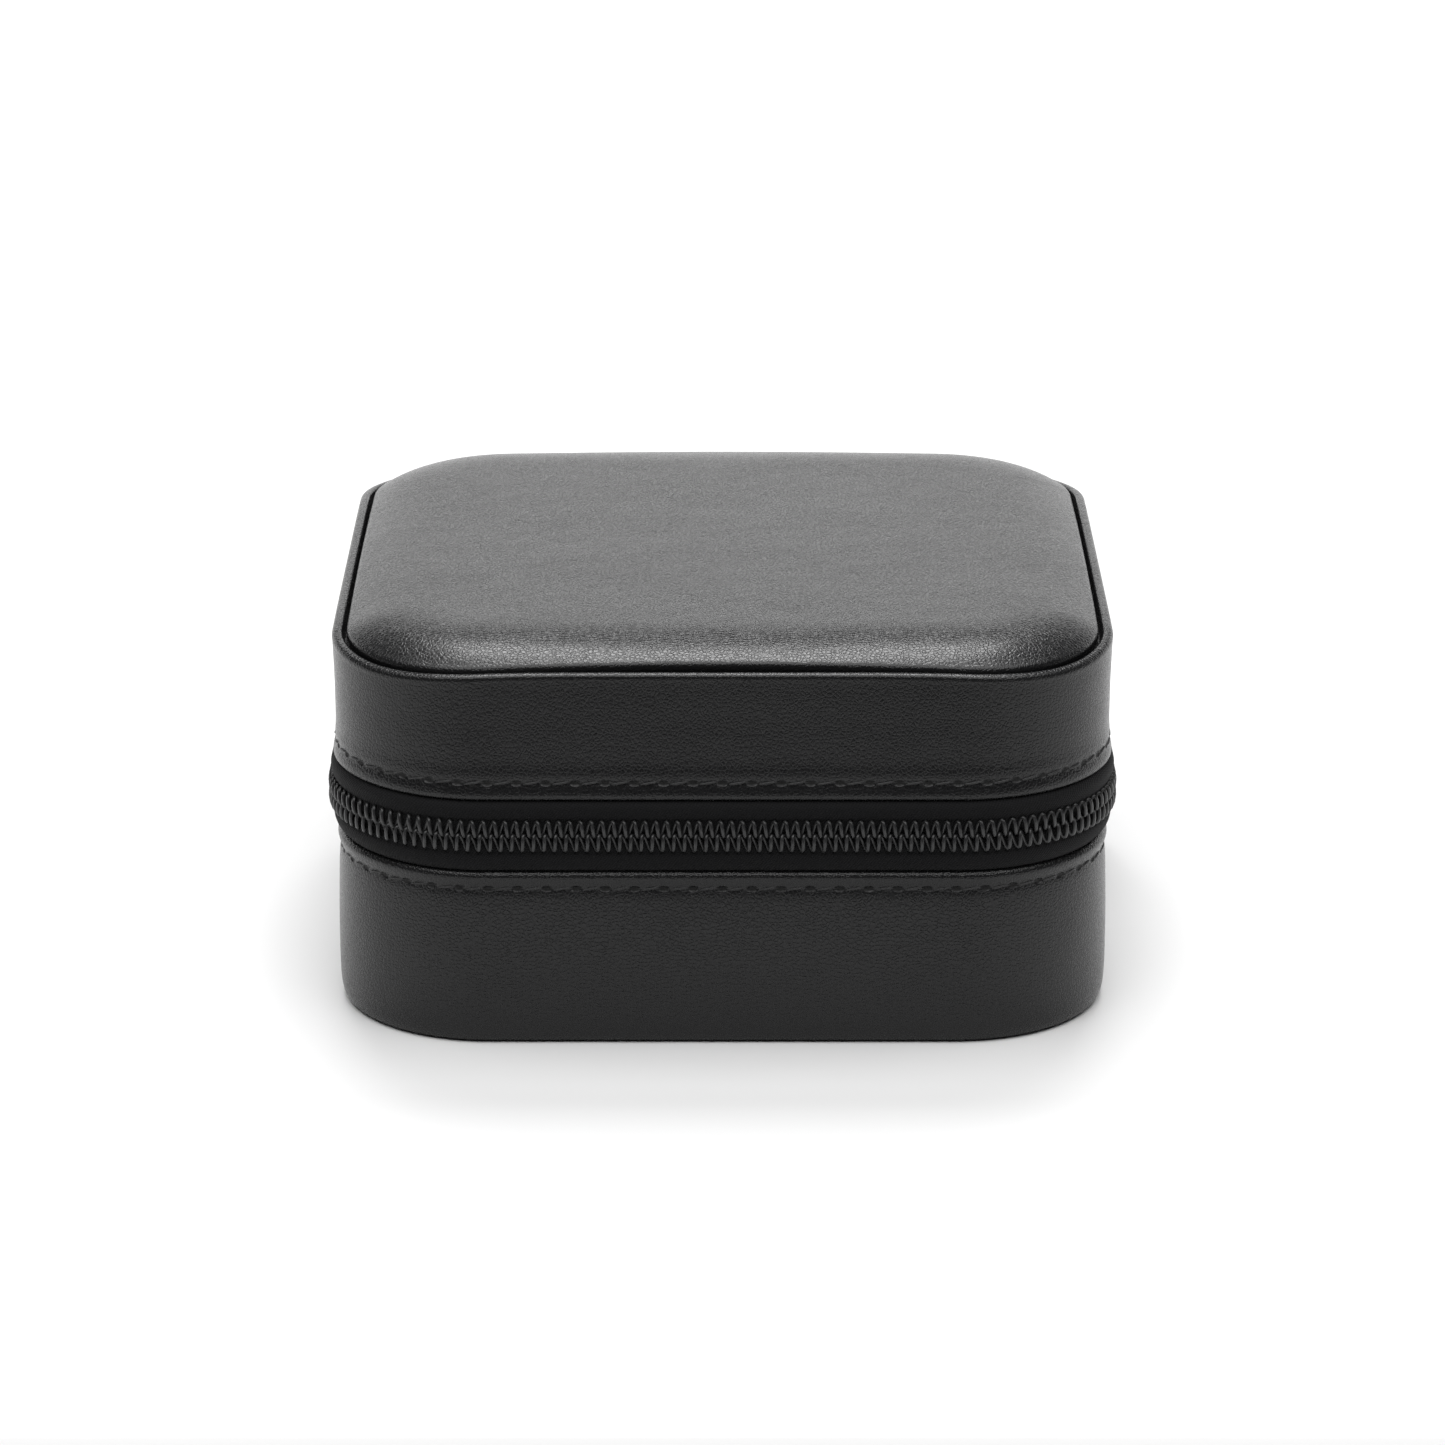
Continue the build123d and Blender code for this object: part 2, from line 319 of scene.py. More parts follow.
def carried(name, profile, columns=360, start=0.0, end=None, pull_in=None, dip=None):
    """A closed profile of (outward offset, height) carried along the plan, all round or from start to end.
    pull_in gives each station's factor and the offset that the profile is drawn to where the factor is 0.
    dip is (depth, height from, height to): over those heights the profile sinks, by depth at the corners."""
    whole = end is None
    stations = np.linspace(start, start + PLAN_LENGTH if whole else end, columns, endpoint=not whole)
    offset = np.repeat(profile[:, :1], columns, 1)
    if pull_in is not None:
        factor, rest = pull_in(stations)
        offset = rest + (offset - rest) * factor
    x, y = plan(stations[None, :], offset)
    z = np.repeat(profile[:, 1:], columns, 1)
    if dip is not None:
        share = np.clip((z - dip[1]) / (dip[2] - dip[1]), 0, 1)
        z = z - dip[0] * share * cornerness(x, y)
    points = np.stack([x, y, z], -1).reshape(-1, 3)
    uv = np.stack([np.broadcast_to(stations, x.shape), z], -1).reshape(-1, 2)
    faces = grid_faces(len(profile), columns, True, whole)
    return make_piece(name, points, faces, uv, () if whole else end_caps(len(profile), columns))


def leather(name, wrinkle=0.0, seam_z=None):
    """Black hide: fine pebbles between valleys, softer swells under them, slanting wrinkles of the given
    relief in millimetres, and needle holes on a seam, sunk by a bump and painted near-black as painted shade."""
    hide = Finish(name, specular_ior_level=0.34)
    place = hide.coordinates()
    pebble = hide.node("ShaderNodeTexVoronoi", {"feature": "DISTANCE_TO_EDGE"},
                       {"Vector": place, "Scale": 1900.0})
    fine = hide.noise(place, 2600.0, 3.0, Roughness=0.6)
    swell = hide.noise(place, 55.0)
    patch = hide.noise(place, 340.0)
    valley = hide.step(pebble, 0.0, 0.22)
    relief = valley * 0.55 + fine * 0.45 + patch * 0.5
    colour = hide.spread(fine * 0.5 + swell * 0.5, (0.0055, 0.0055, 0.006), (0.0105, 0.0105, 0.011))
    rough = 0.19 + fine * 0.12 + (1 - valley) * 0.06
    normal = hide.bump(swell, 0.35 * MM, 0.6)
    if wrinkle:
        slanted = hide.node("ShaderNodeMapping", {"vector_type": "TEXTURE"},
                            {"Vector": place, "Rotation": (0, 0, 0.5), "Scale": (3.2, 1, 1)})
        crease = hide.noise(slanted, 130.0, 3.0, Distortion=0.6)
        normal = hide.bump(crease, wrinkle * MM, 0.5, under=normal)
    normal = hide.bump(relief, 0.055 * MM, 0.75, under=normal)
    if seam_z is not None:
        hole = needle_holes(hide, seam_z)
        # Painted shade: each needle hole is painted near-black for the shade inside it.
        colour = hide.spread(hole, colour, (0.0008, 0.0008, 0.0008))
        rough = rough + hole * 0.4
        normal = hide.bump(1 - hole, 0.25 * MM, 1.0, under=normal)
    hide.set(base_color=colour, roughness=rough, normal=normal)
    return hide.material


STITCH_PITCH = PLAN_LENGTH / round(PLAN_LENGTH / (3.75 * MM))
STITCH_SLANT = 0.16
HOLE_RADIUS = 0.45 * MM
HOLE_NARROWING = 0.5


def needle_holes(hide, seam_z):
    """1 inside each needle hole, an ellipse drawn out along the seam: distance, on the UV, from the nearest
    point that is a whole pitch along, with the part along the seam narrowed."""
    along, up = hide.along_and_up()
    step = (along / STITCH_PITCH + 0.5).math("FRACT") - 0.5
    dx = step * (STITCH_PITCH * HOLE_NARROWING)
    dz = up - seam_z
    return hide.step((dx * dx + dz * dz).math("SQRT"), HOLE_RADIUS, 0.3 * HOLE_RADIUS)


# ---------------------------------------------------------------------------------------------------------
# Base wall. One band of hide glued over foam and board: its upper edge is a turned hem sewn 2.3 mm down to
# the zip tape, and its lower edge rolls under the case with a soft radius.
# ---------------------------------------------------------------------------------------------------------
STITCH_MARGIN = 2.3 * MM
base_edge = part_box("base_wall_leather")[1].z
base_seam = base_edge - STITCH_MARGIN
e = base_edge / MM
base_wall_profile = [
    (-1.0, e - 0.6), (-0.85, e - 0.05), (-0.5, e + 0.1), (-0.05, e - 0.12), (0.24, e - 0.62), (0.15, e - 1.3),
    (-0.13, e - 2.1), (-0.13, e - 2.5), (0.0, e - 3.1), (0.1, e - 4.5), (0.2, e - 8.0), (0.3, 11.0),
    (0.3, 5.5), (0.22, 2.6), (0.0, 1.1), (-0.45, 0.25), (-1.4, 0.0), (-4.0, 0.0), (-6.0, 0.0), (-6.2, 0.3),
    (-4.0, 0.6), (-2.2, 1.0), (-1.3, 2.2), (-1.0, 4.5), (-1.0, 12.0),
]
base_wall = carried("base_wall_hide", rounded(base_wall_profile) * MM)
fit_out(base_wall, leather("base_hide", seam_z=base_seam), "base", "black_leather", "base_wall_leather",
        "base_underlay")

# ---------------------------------------------------------------------------------------------------------
# Lid wall. The same hide, flared a little at its hem where it covers the zip tape, and folded over at the
# top to a narrow standing rim that goes down into the groove round the pad.
# ---------------------------------------------------------------------------------------------------------
RIM_PROUD = 0.25
lid_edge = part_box("lid_wall_leather")[0].z
lid_seam = lid_edge + STITCH_MARGIN
rim_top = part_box("lid_rim")[1].z
e = lid_edge / MM
t = rim_top / MM + RIM_PROUD
lid_wall_profile = [
    (-1.0, e + 0.6), (-0.8, e + 0.05), (-0.2, e - 0.08), (0.4, e), (0.62, e + 0.5), (0.55, e + 1.2),
    (0.3, e + 2.0), (0.26, e + 2.5), (0.32, e + 3.2), (0.2, e + 4.6), (0.22, e + 7.0), (0.24, e + 10.0),
    (0.32, e + 12.6), (0.42, t - 1.2), (0.5, t - 0.5), (0.3, t - 0.12), (-0.1, t), (-0.6, t - 0.02),
    (-0.9, t - 0.25), (-1.0, t - 1.45), (-1.6, t - 1.6), (-3.2, t - 1.6), (-3.2, t - 1.75), (-1.6, t - 1.75),
    (-1.2, t - 2.2), (-1.0, t - 3.0), (-1.0, e + 6.0),
]
RIM_DIP = 1.0 * MM
DIP_FROM = rim_top - 6.0 * MM
DIP_TO = rim_top - 0.5 * MM
lid_wall = carried("lid_wall_hide", rounded(lid_wall_profile) * MM, dip=(RIM_DIP, DIP_FROM, DIP_TO))
fit_out(lid_wall, leather("lid_hide", seam_z=lid_seam), "lid", "black_leather", "lid_wall_leather",
        "lid_rim", "lid_underlay")

# ---------------------------------------------------------------------------------------------------------
# Seam threads. A lockstitch row round each hem: one slightly slanted stitch a pitch, whose ends dive into
# their needle holes.
# ---------------------------------------------------------------------------------------------------------
STITCH_LENGTH = 2.5 * MM
THREAD_RADIUS = 0.17 * MM
STITCH_ROWS = 9
STITCH_SIDES = 6
BASE_SEAM_OFFSET = -0.20 * MM
LID_SEAM_OFFSET = 0.24 * MM


def thread_finish():
    """Black bonded thread with a fine twist."""
    thread = Finish("sewing_thread", roughness=0.5)
    twist = thread.noise(thread.coordinates(), 6000.0)
    colour = thread.spread(twist, (0.006, 0.006, 0.0065), (0.016, 0.016, 0.0165))
    thread.set(base_color=colour, normal=thread.bump(twist, 0.03 * MM, 0.8))
    return thread.material


def stitches(name, count, pitch, where, length=STITCH_LENGTH, radius=THREAD_RADIUS, slant=STITCH_SLANT):
    """A row of capsules. Each lies along the seam, leans by slant, and thins and sinks at its two ends;
    where(s, out, up) gives points at distance s along the seam, out from its surface and up across it."""
    along = np.linspace(-1, 1, STITCH_ROWS)
    around = np.linspace(0, 2 * math.pi, STITCH_SIDES, endpoint=False)
    a, r = np.meshgrid(along, around, indexing="ij")
    width = radius * np.sqrt(1 - 0.92 * a ** 4)
    up = width * np.cos(r) - slant * a * length / 2
    out = width * np.sin(r) + radius * (0.4 - 1.2 * a ** 4)
    s = (np.arange(count)[:, None, None] + 0.5) * pitch + a * length / 2
    points = where(s, np.broadcast_to(out, s.shape), np.broadcast_to(up, s.shape)).reshape(-1, 3)
    one = grid_faces(STITCH_ROWS, STITCH_SIDES, False, True)
    first = np.arange(count)[:, None, None] * STITCH_ROWS * STITCH_SIDES
    faces = (one[None] + first).reshape(-1, 4)
    ends = np.arange(STITCH_SIDES)
    last = (STITCH_ROWS - 1) * STITCH_SIDES + ends
    caps = [cap + k for k in first.ravel() for cap in (ends[::-1], last)]
    return make_piece(name, points, faces, caps=caps)


def hem_seam(seam_z, surface):
    """Where a hem's stitches lie: on the wall's surface offset at the height of the seam."""
    def where(s, out, up):
        x, y = plan(s, surface + out)
        return np.stack([x, y, seam_z + up], -1)
    return where


black_thread = thread_finish()
hem_count = round(PLAN_LENGTH / STITCH_PITCH)
base_stitches = stitches("base_stitches", hem_count, STITCH_PITCH, hem_seam(base_seam, BASE_SEAM_OFFSET))
fit_out(base_stitches, black_thread, "base", "black_thread", "base_thread")
lid_stitches = stitches("lid_stitches", hem_count, STITCH_PITCH, hem_seam(lid_seam, LID_SEAM_OFFSET))
fit_out(lid_stitches, black_thread, "lid", "black_thread", "lid_thread")

# ---------------------------------------------------------------------------------------------------------
# Padded top. A square of hide drawn over foam on the top board and tucked into the groove inside the rim. It
# is flat in the middle, falls away in a wide roll and drops lower at its corners.
# ---------------------------------------------------------------------------------------------------------
def inset_of(x, y):
    """How far a point lies inside the plan, from the rounded square's distance formula."""
    dx = np.maximum(np.abs(x) - straight_x, 0)
    dy = np.maximum(np.abs(y) - straight_y, 0)
    return CORNER_RADIUS - np.hypot(dx, dy)


def coons(loop, cells):
    """Fill a closed loop of 4 x cells points with a grid: opposite sides are blended, less their corners."""
    back = loop[:cells + 1]
    right = loop[cells:2 * cells + 1]
    front = loop[2 * cells:3 * cells + 1][::-1]
    left = np.concatenate([loop[3 * cells:], loop[:1]])[::-1]
    u = np.linspace(0, 1, cells + 1)[None, :, None]
    v = np.linspace(0, 1, cells + 1)[:, None, None]
    sides = (1 - v) * back[None] + v * front[None] + (1 - u) * left[:, None] + u * right[:, None]
    corners = (1 - v) * ((1 - u) * back[0] + u * back[-1]) + v * ((1 - u) * front[0] + u * front[-1])
    return sides - corners


def border_numbers(cells):
    """The numbers of the grid's border points, in the loop's order."""
    n = cells + 1
    i = np.arange(cells)
    return np.concatenate([i, i * n + cells, cells * n + cells - i, (cells - i) * n])


PAD_POWER = 3.0
ROW_CROWDING = 1.6


def upholstered(name, inset, edge_z, top_z, run, cells, limb=0.0, tuck=0.0, corner_drop=0.0, rows=6):
    """A padded sheet that fills the plan inside an inset. Over the last run its height falls from top_z to
    edge_z, and by corner_drop more at the corners, with a power of the share of the run. It then turns on an
    arc of radius limb until upright and goes straight on by tuck, away from top_z; a flat back closes it."""
    loop_s = PLAN_LENGTH * (np.arange(4 * cells) / (4 * cells) - 0.125)
    lean = math.atan(PAD_POWER * abs(top_z - edge_z) / run)
    turn = np.linspace(lean, math.pi / 2, 7)[1:]
    away = limb * math.cos(lean) + np.append(-limb * np.cos(turn), tuck)
    shoulder = inset + limb * (1 - math.sin(lean))
    insets = np.concatenate([shoulder + run * np.linspace(1, 0, rows + 1) ** ROW_CROWDING,
                             inset + limb * (1 - np.sin(turn)), [inset]])
    loops = [np.stack(plan(loop_s, np.full(4 * cells, -distance)), -1) for distance in insets]
    top = coons(loops[0], cells).reshape(-1, 2)
    flat = np.concatenate([top, *loops[1:]])
    depth = np.clip((inset_of(flat[:, 0], flat[:, 1]) - shoulder) / run, 0, 1)
    square = (flat[:, 0] * flat[:, 1] / (half_x * half_y)) ** 2
    down = np.sign(top_z - edge_z)
    z = top_z - (top_z - edge_z + down * corner_drop * square) * (1 - depth) ** PAD_POWER
    z[-4 * cells * len(away):] -= down * np.repeat(away, 4 * cells)
    ring = np.concatenate([border_numbers(cells), len(top) + np.arange(4 * cells * (len(loops) - 1))])
    faces = np.concatenate([
        grid_faces(cells + 1, cells + 1, False, False),
        ring[grid_faces(len(loops), 4 * cells, False, True)][:, ::-1],
    ])
    return make_piece(name, np.column_stack([flat, z]), faces, caps=[ring[-4 * cells:][::-1]])


PAD_INSET = 1.45 * MM
PAD_EDGE = rim_top + 1.3 * MM
PAD_TOP = rim_top + 2.95 * MM
PAD_RUN = 12.5 * MM
PAD_LIMB = 0.8 * MM
PAD_TUCK = 2.0 * MM
PAD_CORNER_DROP = 2.0 * MM
PAD_CELLS = 88
PAD_ROWS = 14
pad = upholstered("padded_top", PAD_INSET, PAD_EDGE, PAD_TOP, PAD_RUN, PAD_CELLS, PAD_LIMB, PAD_TUCK,
                  PAD_CORNER_DROP, PAD_ROWS)
fit_out(pad, leather("pad_hide", wrinkle=0.12), "lid", "black_leather", "lid_pad_leather", "lid_pad_foam")

# ---------------------------------------------------------------------------------------------------------
# Zip tapes. Two woven tapes sewn under the hems; they swell outwards between the hems, the upper one the
# more, and dive under the leather hinge at the back.
# ---------------------------------------------------------------------------------------------------------
zip_z = (base_edge + lid_edge) / 2
spine_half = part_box("hinge_spine")[1].x
ZIP_START = spine_half - 1.0 * MM
ZIP_TUCKED = 5.5 * MM
ZIP_RAMP = 9.0 * MM
TAPE_THICKNESS = 0.45
DIVE_OFFSET = -2.1 * MM
TAPE_COLUMNS = 420
TURN = 2 * math.pi


def zip_dive(stations):
    """1 along the zip, easing to 0 near both of its ends, which lie further in than the hinge's axis."""
    from_end = np.minimum(stations - ZIP_START, PLAN_LENGTH - ZIP_START - stations)
    t = np.clip((from_end - ZIP_TUCKED) / ZIP_RAMP, 0, 1)
    return t * t * (3 - 2 * t), DIVE_OFFSET


def woven(name):
    """Black polyester tape: a fine twill whose ribs cross the tape on a slant, with little fuzz and sheen."""
    cloth = Finish(name, roughness=0.85, sheen_weight=0.04, sheen_roughness=0.5, specular_ior_level=0.12)
    along, up = cloth.along_and_up()
    rib = (along * (TURN / (0.42 * MM)) + up * (TURN / (0.55 * MM))).math("SINE")
    yarn = (up * (TURN / (0.28 * MM)) - along * (TURN / (0.9 * MM))).math("SINE")
    fuzz = cloth.noise(cloth.coordinates(), 3000.0, 3.0)
    relief = rib * 0.3 + yarn * 0.2 + fuzz * 0.5 + 0.5
    colour = cloth.spread(relief, (0.0025, 0.0025, 0.003), (0.009, 0.009, 0.0095))
    cloth.set(base_color=colour, normal=cloth.bump(relief, 0.06 * MM, 0.9))
    return cloth.material


def tape_profile(face):
    """A thin closed strip from the outer face's points and the same points a thickness further in."""
    return rounded(face + [(o - TAPE_THICKNESS, z) for o, z in face[::-1]], passes=2) * MM


tape_cloth = woven("zip_tape_cloth")
m = zip_z / MM
e = lid_edge / MM
upper_face = [
    (-1.05, e + 3.8), (-1.05, e + 1.2), (-0.75, e + 0.3), (0.4, e - 0.2), (0.95, e - 0.8), (0.95, e - 1.5),
    (0.8, m + 2.6), (0.4, m + 2.1), (0.35, m + 0.2),
]
e = base_edge / MM
lower_face = [
    (0.35, m - 0.2), (0.4, m - 1.9), (0.7, m - 2.4), (0.6, e + 1.4), (0.15, e + 0.6), (-0.5, e + 0.05),
    (-1.0, e - 0.5), (-1.05, e - 1.2), (-1.05, e - 3.8),
]
for name, face, body in (("upper_tape", upper_face, "lid"), ("lower_tape", lower_face, "base")):
    tape = carried(name, tape_profile(face), TAPE_COLUMNS, ZIP_START, PLAN_LENGTH - ZIP_START, zip_dive)
    fit_out(tape, tape_cloth, body, "zip_tape", name.replace("tape", "zip_tape"))

# ---------------------------------------------------------------------------------------------------------
# Zip coils. Each half of the chain is one nylon monofilament wound into flat loops and sewn to its tape's
# edge; the loops' heads interlock in the middle of the opening.
# ---------------------------------------------------------------------------------------------------------
COIL_PITCH = 1.37 * MM
COIL_REACH = 1.0 * MM
COIL_MIDDLE = 0.92 * MM
COIL_HALF_HEIGHT = 0.34 * MM
COIL_OFFSET = 0.75 * MM
COIL_LIFT = 0.25 * MM
UPRIGHTNESS = {1: 0.45, -1: 0.95}
FILAMENT_RADIUS = 0.28 * MM
POINTS_PER_TURN = 12
FILAMENT_SIDES = 6


def nylon_finish():
    """Dyed nylon: smooth, a little uneven in shine."""
    nylon = Finish("nylon_coil", specular_ior_level=0.55)
    cloud = nylon.noise(nylon.coordinates(), 900.0)
    colour = nylon.spread(cloud, (0.008, 0.008, 0.0085), (0.02, 0.02, 0.0205))
    nylon.set(base_color=colour, roughness=0.28 + cloud * 0.16, normal=nylon.bump(cloud, 0.02 * MM, 0.5))
    return nylon.material


def coil(name, side, material, body, node):
    """A round filament along a flattened helix. Height follows the turn angle's cosine and offset its sine.
    Distance along grows with the angle less a share of its cosine, so that the outer legs stand upright."""
    length = PLAN_LENGTH - 2 * ZIP_START
    turns = int(length / COIL_PITCH)
    angle = np.linspace(0, 2 * math.pi * turns, POINTS_PER_TURN * turns + 1)
    s = ZIP_START + COIL_PITCH * (angle - side * UPRIGHTNESS[side] * np.cos(angle)) / (2 * math.pi)
    z = zip_z + COIL_LIFT + side * COIL_MIDDLE + COIL_REACH * np.cos(angle)
    factor, rest = zip_dive(s)
    offset = rest + (COIL_OFFSET - rest) * factor - side * COIL_HALF_HEIGHT * np.sin(angle)
    x, y = plan(s, offset)
    path = np.stack([x, y, z], -1)
    tangent = np.gradient(path, axis=0)
    tangent /= np.linalg.norm(tangent, axis=1, keepdims=True)
    out_x, out_y = plan(s, offset + MM)
    outwards = np.stack([out_x - x, out_y - y, np.zeros_like(x)], -1) / MM
    first = np.cross(tangent, outwards)
    first /= np.linalg.norm(first, axis=1, keepdims=True)
    second = np.cross(first, tangent)
    around = np.linspace(0, 2 * math.pi, FILAMENT_SIDES, endpoint=False)[:, None, None]
    points = path + FILAMENT_RADIUS * (np.cos(around) * first + np.sin(around) * second)
    columns = len(s)
    faces = grid_faces(FILAMENT_SIDES, columns, True, False)
    piece = make_piece(name, points.reshape(-1, 3), faces, caps=end_caps(FILAMENT_SIDES, columns))
    return fit_out(piece, material, body, "zip_coil", node)


nylon = nylon_finish()
coil("upper_coil", 1, nylon, "lid", "upper_zip_coil")
coil("lower_coil", -1, nylon, "base", "lower_zip_coil")

# ---------------------------------------------------------------------------------------------------------
# Bottom. A panel of hide glued under the case inside the turned-in edge of the base wall.
# ---------------------------------------------------------------------------------------------------------
BOTTOM_INSET = 5.2 * MM
BOTTOM_LIFT = 0.25 * MM
SHEET_FALL = 0.1 * MM
SHEET_LIMB = 0.2 * MM
SHEET_TUCK = 0.3 * MM
SHEET_CELLS = 40


def flat_sheet(name, inset, face_z, down):
    """A glued flat sheet: its face is at face_z, and its edge turns a little down (1) or up (-1)."""
    edge_z = face_z - down * SHEET_FALL
    return upholstered(name, inset, edge_z, face_z, MM, SHEET_CELLS, SHEET_LIMB, SHEET_TUCK)


bottom = flat_sheet("bottom_panel", BOTTOM_INSET, BOTTOM_LIFT, -1)
fit_out(bottom, leather("bottom_hide"), "base", "black_leather", "base_bottom_leather")

# ---------------------------------------------------------------------------------------------------------
# Hinge. A strip of hide across the back, tucked under both hems, with a strip of velvet inside it; both
# span the gap between the base and the lid, the hide one swelling outwards over it.
# ---------------------------------------------------------------------------------------------------------
HINGE_ROWS = 40
HINGE_COLUMNS = 30


def velvet_finish():
    """Charcoal velvet: dark pile with a soft sheen, lightly rubbed in patches."""
    velvet = Finish("velvet", roughness=0.95, specular_ior_level=0.1, sheen_weight=0.55, sheen_roughness=0.35,
                    sheen_tint=(0.5, 0.5, 0.52))
    place = velvet.coordinates()
    pile = velvet.noise(place, 5200.0, 3.0)
    rubbed = velvet.noise(place, 70.0, 3.0)
    colour = velvet.spread(pile * 0.5 + rubbed * 0.5, (0.022, 0.022, 0.024), (0.055, 0.055, 0.058))
    normal = velvet.bump(pile, 0.12 * MM, 0.8, under=velvet.bump(rubbed, 0.3 * MM, 0.4))
    velvet.set(base_color=colour, normal=normal)
    return velvet.material


def lofted(name, loops, closed=False):
    """A shell through a stack of matching loops; its ends are filled unless the stack closes on itself."""
    rows, columns = loops.shape[:2]
    ring = np.arange(columns)
    caps = () if closed else [ring[::-1], (rows - 1) * columns + ring]
    return make_piece(name, loops.reshape(-1, 3), grid_faces(rows, columns, closed, True), caps=caps)


def hinge_strip(name, node, overlap, swell, thickness):
    """A strip as wide as the CAD one. Its outer face swells by a half sine over the gap between the hems,
    and it runs on by overlap under each."""
    low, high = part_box(node)
    z = np.linspace(base_edge - overlap, lid_edge + overlap, HINGE_ROWS)
    gap = np.clip((z - base_edge) / (lid_edge - base_edge), 0, 1)
    outer = high.y + swell * np.sin(math.pi * gap)
    y = np.concatenate([outer, outer[::-1] - thickness])
    z = np.concatenate([z, z[::-1]])
    x = np.linspace(-high.x, high.x, HINGE_COLUMNS)[:, None]
    loops = np.stack(np.broadcast_arrays(x, y[None], z[None]), -1)
    return lofted(name, loops)


velvet = velvet_finish()
for name, node, overlap, swell, thickness, finish, slot in (
    ("hinge_hide", "hinge_spine", 3.0 * MM, 0.25 * MM, 0.5 * MM, leather("hinge_hide"), "black_leather"),
    ("hinge_velvet", "hinge_lining", 0.0, 0.0, 0.6 * MM, velvet, "velvet_lining"),
):
    strip = hinge_strip(name, node, overlap, swell, thickness)
    strip.data.materials.append(finish)
    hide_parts(node)
    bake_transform(strip)

# ---------------------------------------------------------------------------------------------------------
# Linings. Velvet over the walls' inner faces and edges, the floor and the ceiling.
# ---------------------------------------------------------------------------------------------------------
LINING_ROOT = -3.55
LINING_FACE = -4.3
LINING_OVERLAP = 0.1 * MM
LINING_TUCK = 0.5 * MM
floor_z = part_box("base_floor_lining")[1].z
ceiling_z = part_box("lid_ceiling_lining")[0].z


def wall_lining(edge, end, turn):
    """The closed section of a lining that starts behind the hem at edge, crosses the wall's edge and runs up
    or down (turn) the inner face to end, in millimetres."""
    return [
        (-1.1, edge - 0.6 * turn), (-1.2, edge - 0.1 * turn), (-1.8, edge + 0.05 * turn),
        (-3.5, edge + 0.05 * turn), (LINING_FACE + 0.15, edge - 0.25 * turn),
        (LINING_FACE, edge - 1.2 * turn), (LINING_FACE, (edge + end) / 2), (LINING_FACE, end),
        (LINING_ROOT, end), (LINING_ROOT, (edge + end) / 2), (LINING_ROOT, edge - 1.2 * turn),
        (-3.4, edge - 0.75 * turn), (-1.9, edge - 0.7 * turn),
    ]


for name, node, edge, end, turn, body in (
    ("base_wall_velvet", "base_wall_lining", base_edge, floor_z - LINING_TUCK, 1, "base"),
    ("lid_wall_velvet", "lid_wall_lining", lid_edge, ceiling_z + LINING_TUCK, -1, "lid"),
):
    lining = carried(name, rounded(wall_lining(edge / MM, end / MM, turn), passes=2) * MM)
    fit_out(lining, velvet, body, "velvet_lining", node)
lining_inset = -LINING_FACE * MM - LINING_OVERLAP
base_floor = flat_sheet("floor_velvet", lining_inset, floor_z, 1)
fit_out(base_floor, velvet, "base", "velvet_lining", "base_floor_lining")
lid_ceiling = flat_sheet("ceiling_velvet", lining_inset, ceiling_z, -1)
fit_out(lid_ceiling, velvet, "lid", "velvet_lining", "lid_ceiling_lining")

# ---------------------------------------------------------------------------------------------------------
# Dividers. Two velvet-covered boards with soft top edges.
# ---------------------------------------------------------------------------------------------------------
DIVIDER_STATIONS = 24
DIVIDER_EDGE = 0.75 * MM


def rounded_rectangle(half_width, half_height, radius, per_corner=8):
    """Loop round a rectangle, anticlockwise: each corner is a quarter circle about its own centre."""
    turn = np.linspace(0, math.pi / 2, per_corner) + math.pi / 2 * np.arange(4)[:, None]
    side = np.array([[1, 1], [-1, 1], [-1, -1], [1, -1]])[:, None, :]
    centre = side * np.array([half_width - radius, half_height - radius])
    return (centre + radius * np.stack([np.cos(turn), np.sin(turn)], -1)).reshape(-1, 2)


def divider(name, node, along):
    """The CAD divider's box with a rounded section, carried along x (0) or y (1)."""
    low, high = (np.array(corner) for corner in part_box(node))
    middle, size = (low + high) / 2, (high - low) / 2
    across = 1 - along
    section = rounded_rectangle(size[across], size[2], DIVIDER_EDGE)
    loops = np.empty((DIVIDER_STATIONS, len(section), 3))
    loops[:, :, along] = np.linspace(low[along], high[along], DIVIDER_STATIONS)[:, None]
    loops[:, :, across] = middle[across] + section[:, 0]
    loops[:, :, 2] = middle[2] + section[:, 1]
    return fit_out(lofted(name, loops), velvet, "base", "velvet_lining", node)


divider("long_divider_velvet", "long_divider", 0)
divider("cross_divider_velvet", "cross_divider", 1)

# ---------------------------------------------------------------------------------------------------------
# Ring rolls. Four foam rolls in velvet, pressed together so that rings stand in the gaps; the cloth is
# gathered at the ends.
# ---------------------------------------------------------------------------------------------------------
ROLL_STATIONS = 90
ROLL_END = 3.5 * MM
ROLL_ROUND = 5.0 * MM
ROLL_GATHER = 0.22 * MM
ROLL_SAG = 0.3 * MM
GATHER_FOLDS = 9
ROLL_COUNT = 4


